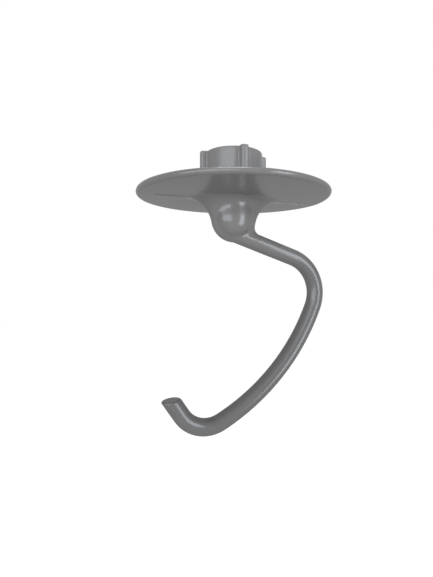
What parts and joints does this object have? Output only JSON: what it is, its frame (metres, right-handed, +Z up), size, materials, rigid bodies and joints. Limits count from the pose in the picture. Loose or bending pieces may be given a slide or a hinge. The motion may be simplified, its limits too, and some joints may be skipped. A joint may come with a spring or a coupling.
{
  "type": "stand mixer dough hook",
  "caption": "Cast dough hook for a stand mixer: lugged drive hub with a blind socket, round guard disc, flared neck with domed bosses, and a bent round rod that kneads the dough.",
  "frame": {"origin": "middle of the drive socket's mouth, on the hub's top face", "axes": "+Z up along the drive axis, out of the socket; +X in the plane of the bent rod, towards the side where the arm leaves the neck"},
  "size_m": [0.103, 0.1, 0.1459],
  "materials": {
    "grey_coat": "smooth semi-gloss mid-grey coat on a casting"
  },
  "bodies": {
    "root": {"dough_hook": "grey_coat"}
  },
  "joints": []
}
